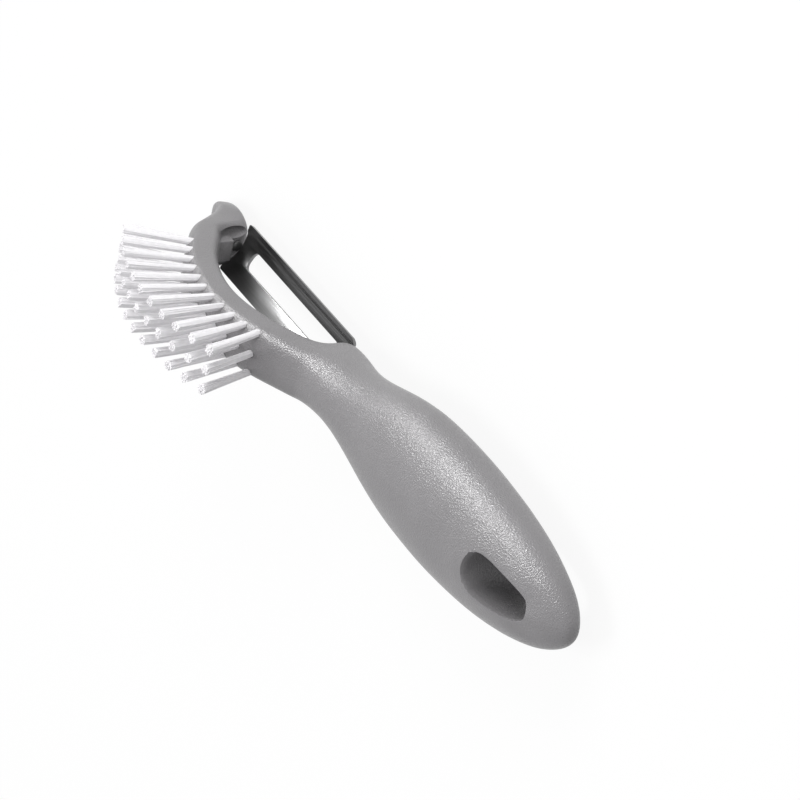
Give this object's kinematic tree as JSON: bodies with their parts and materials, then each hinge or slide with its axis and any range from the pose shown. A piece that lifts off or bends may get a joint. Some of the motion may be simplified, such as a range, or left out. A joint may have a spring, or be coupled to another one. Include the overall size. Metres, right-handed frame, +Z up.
{
  "type": "vegetable brush with swivel peeler",
  "caption": "Hand brush for vegetables: arched grey plastic handle with white bristles, a swivelling slotted peeler blade under the arch, a pointed scoop tip and a hanging hole.",
  "frame": {"origin": "on the resting plane, under the middle of the tool's length and width", "axes": "+X along the tool towards the scoop, +Y across the rows of bristles, +Z up out of the bristles"},
  "size_m": [0.1907, 0.032, 0.0464],
  "materials": {
    "grey_plastic": "fine moulded grain, soft sheen",
    "blade_steel": "polished stainless sheet",
    "nylon_bristle": "translucent white nylon",
    "staple_metal": "plain drawn strip"
  },
  "bodies": {
    "handle_body": {"handle": "grey_plastic", "tuft_staples": "staple_metal", "tuft_a01": "nylon_bristle", "tuft_a02": "nylon_bristle", "tuft_a03": "nylon_bristle", "tuft_a04": "nylon_bristle", "tuft_a05": "nylon_bristle", "tuft_a06": "nylon_bristle", "tuft_a07": "nylon_bristle", "tuft_a08": "nylon_bristle", "tuft_a09": "nylon_bristle", "tuft_a10": "nylon_bristle", "tuft_a11": "nylon_bristle", "tuft_b01": "nylon_bristle", "tuft_b02": "nylon_bristle", "tuft_b03": "nylon_bristle", "tuft_b04": "nylon_bristle", "tuft_b05": "nylon_bristle", "tuft_b06": "nylon_bristle", "tuft_b07": "nylon_bristle", "tuft_b08": "nylon_bristle", "tuft_b09": "nylon_bristle", "tuft_b10": "nylon_bristle", "tuft_b11": "nylon_bristle", "tuft_c01": "nylon_bristle", "tuft_c02": "nylon_bristle", "tuft_c03": "nylon_bristle", "tuft_c04": "nylon_bristle", "tuft_c05": "nylon_bristle", "tuft_c06": "nylon_bristle", "tuft_c07": "nylon_bristle", "tuft_c08": "nylon_bristle", "tuft_c09": "nylon_bristle", "tuft_c10": "nylon_bristle", "tuft_c11": "nylon_bristle"},
    "blade_body": {"blade": "blade_steel"}
  },
  "joints": [
    {"name": "blade_swivel", "type": "hinge", "parent": "handle_body", "child": "blade_body", "pos_m": [0.0191, 0, 0.0064], "axis": [1, 0, 0], "range_deg": [-68, 12]}
  ]
}
